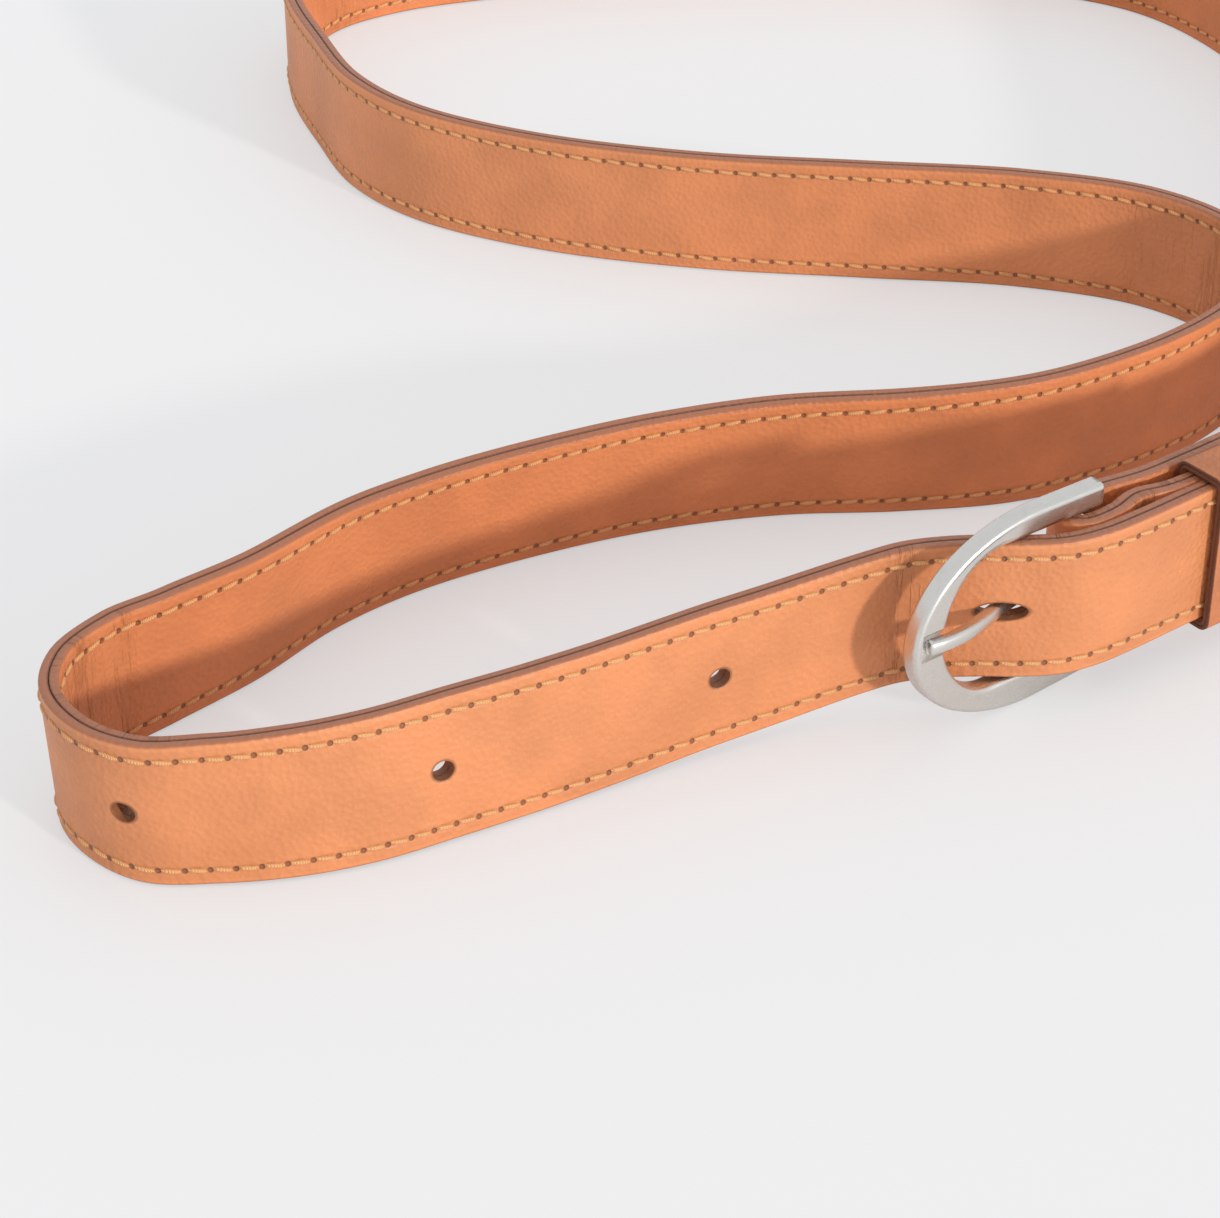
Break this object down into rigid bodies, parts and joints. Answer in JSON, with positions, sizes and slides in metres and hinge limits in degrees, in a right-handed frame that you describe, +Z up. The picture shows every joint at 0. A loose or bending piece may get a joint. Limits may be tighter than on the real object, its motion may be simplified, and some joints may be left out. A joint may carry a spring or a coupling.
{
  "type": "leather belt",
  "caption": "Narrow tan leather belt, buckled and standing on its edge in curves, with a satin heel-bar buckle, prong, leather keeper and stitched edges.",
  "frame": {"origin": "centre of the standing belt's box, on the surface that its lower edge rests on", "axes": "+Z up; +Y from the front run with the buckle towards the back run; +X to the right"},
  "size_m": [0.2104, 0.3152, 0.0318],
  "materials": {
    "strap_face_ply": "smooth grained, semi-matt",
    "strap_lining_ply": "smooth grained, semi-matt",
    "needle_thread_upper": "waxed twisted thread",
    "needle_thread_lower": "waxed twisted thread",
    "bobbin_thread_upper": "waxed twisted thread",
    "bobbin_thread_lower": "waxed twisted thread",
    "turn_back_thread": "waxed twisted thread",
    "keeper_band": "smooth grained, semi-matt",
    "keeper_staple": "plain wire",
    "buckle_frame": "satin plated",
    "buckle_bar": "satin plated",
    "prong": "satin plated"
  },
  "bodies": {
    "strap": {"strap_face_ply": "strap_face_ply", "strap_lining_ply": "strap_lining_ply", "needle_thread_upper": "needle_thread_upper", "needle_thread_lower": "needle_thread_lower", "bobbin_thread_upper": "bobbin_thread_upper", "bobbin_thread_lower": "bobbin_thread_lower", "turn_back_thread": "turn_back_thread"},
    "buckle": {"buckle_frame": "buckle_frame", "buckle_bar": "buckle_bar"},
    "tongue": {"prong": "prong"},
    "keeper": {"keeper_band": "keeper_band", "keeper_staple": "keeper_staple"}
  },
  "joints": [
    {"name": "buckle_pivot", "type": "hinge", "parent": "strap", "child": "buckle", "pos_m": [0.03571, -0.10734, 0.0167], "axis": [0, 0, 1], "range_deg": [-3, 0]},
    {"name": "prong_pivot", "type": "hinge", "parent": "strap", "child": "tongue", "pos_m": [0.03571, -0.10734, 0.0167], "axis": [0, 0, 1], "range_deg": [0, 3]},
    {"name": "keeper_slide", "type": "slide", "parent": "strap", "child": "keeper", "axis": [-0.8039, -0.5948, 0], "range_m": [-0.003, 0.003]}
  ]
}
